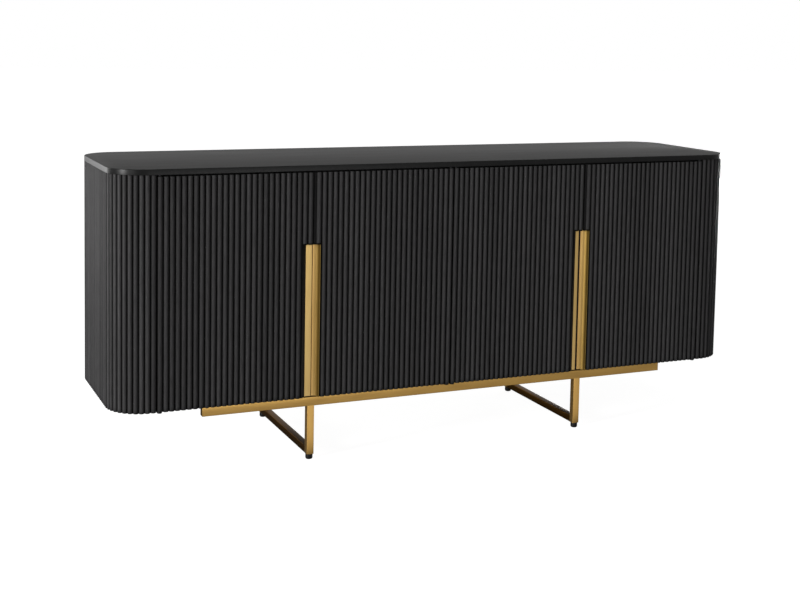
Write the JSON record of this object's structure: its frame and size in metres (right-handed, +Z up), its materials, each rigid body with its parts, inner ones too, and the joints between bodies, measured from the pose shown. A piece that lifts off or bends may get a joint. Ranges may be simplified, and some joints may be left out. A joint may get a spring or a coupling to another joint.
{
  "type": "sideboard buffet",
  "caption": "Long sideboard with reeded doors and rounded reeded ends, recessed brass finger pulls, pivot-hung doors, shelves and a slim brass tube base.",
  "frame": {"origin": "on the floor, under the middle of the cabinet", "axes": "+X along the length to the right seen from the front, -Y out of the doors, +Z up"},
  "size_m": [1.9, 0.48, 0.808],
  "materials": {
    "reeded_wood": "black-stained reeded wood and veneer, satin lacquer",
    "carcass_board": "black-stained veneered board, matt lacquer",
    "satin_brass": "satin brass finish on strip and steel tube",
    "hinge_leaf": "black painted steel",
    "zinc_steel": "zinc-plated steel",
    "black_plastic": "black moulded plastic"
  },
  "bodies": {
    "cabinet": {"top_slab": "reeded_wood", "end_shell_left": "reeded_wood", "end_shell_right": "reeded_wood", "carcass_top": "carcass_board", "bottom_panel": "carcass_board", "side_panel_left": "carcass_board", "side_panel_right": "carcass_board", "centre_partition": "carcass_board", "back_panel": "carcass_board", "shelf_left": "carcass_board", "shelf_right": "carcass_board", "shelf_pin_left_inner_front": "zinc_steel", "shelf_pin_left_inner_rear": "zinc_steel", "shelf_pin_left_outer_front": "zinc_steel", "shelf_pin_left_outer_rear": "zinc_steel", "shelf_pin_right_inner_front": "zinc_steel", "shelf_pin_right_inner_rear": "zinc_steel", "shelf_pin_right_outer_front": "zinc_steel", "shelf_pin_right_outer_rear": "zinc_steel", "hinge_lower_left_outer": "hinge_leaf", "hinge_upper_left_outer": "hinge_leaf", "hinge_lower_left_inner": "hinge_leaf", "hinge_upper_left_inner": "hinge_leaf", "hinge_lower_right_inner": "hinge_leaf", "hinge_upper_right_inner": "hinge_leaf", "hinge_lower_right_outer": "hinge_leaf", "hinge_upper_right_outer": "hinge_leaf", "magnetic_catch_left": "black_plastic", "magnetic_catch_right": "black_plastic", "front_bar": "satin_brass", "rear_bar": "satin_brass", "front_leg_left": "satin_brass", "rear_leg_left": "satin_brass", "floor_rail_left": "satin_brass", "cross_member_left": "satin_brass", "glide_front_left": "black_plastic", "glide_rear_left": "black_plastic", "front_leg_right": "satin_brass", "rear_leg_right": "satin_brass", "floor_rail_right": "satin_brass", "cross_member_right": "satin_brass", "glide_front_right": "black_plastic", "glide_rear_right": "black_plastic"},
    "left_outer_door": {"door_left_outer": "reeded_wood", "pull_liner_left_outer": "satin_brass", "strike_left_outer": "zinc_steel"},
    "left_inner_door": {"door_left_inner": "reeded_wood", "pull_liner_left_inner": "satin_brass", "strike_left_inner": "zinc_steel"},
    "right_inner_door": {"door_right_inner": "reeded_wood", "pull_liner_right_inner": "satin_brass", "strike_right_inner": "zinc_steel"},
    "right_outer_door": {"door_right_outer": "reeded_wood", "pull_liner_right_outer": "satin_brass", "strike_right_outer": "zinc_steel"}
  },
  "joints": [
    {"name": "left_outer_door_hinge", "type": "hinge", "parent": "cabinet", "child": "left_outer_door", "pos_m": [-0.8276, -0.23256, 0.1768], "axis": [0, 0, -1], "range_deg": [0, 105]},
    {"name": "left_inner_door_hinge", "type": "hinge", "parent": "cabinet", "child": "left_inner_door", "pos_m": [-0.00845, -0.23256, 0.1768], "axis": [0, 0, 1], "range_deg": [0, 90]},
    {"name": "right_inner_door_hinge", "type": "hinge", "parent": "cabinet", "child": "right_inner_door", "pos_m": [0.00845, -0.23256, 0.1768], "axis": [0, 0, -1], "range_deg": [0, 90]},
    {"name": "right_outer_door_hinge", "type": "hinge", "parent": "cabinet", "child": "right_outer_door", "pos_m": [0.8276, -0.23256, 0.1768], "axis": [0, 0, 1], "range_deg": [0, 105]}
  ]
}
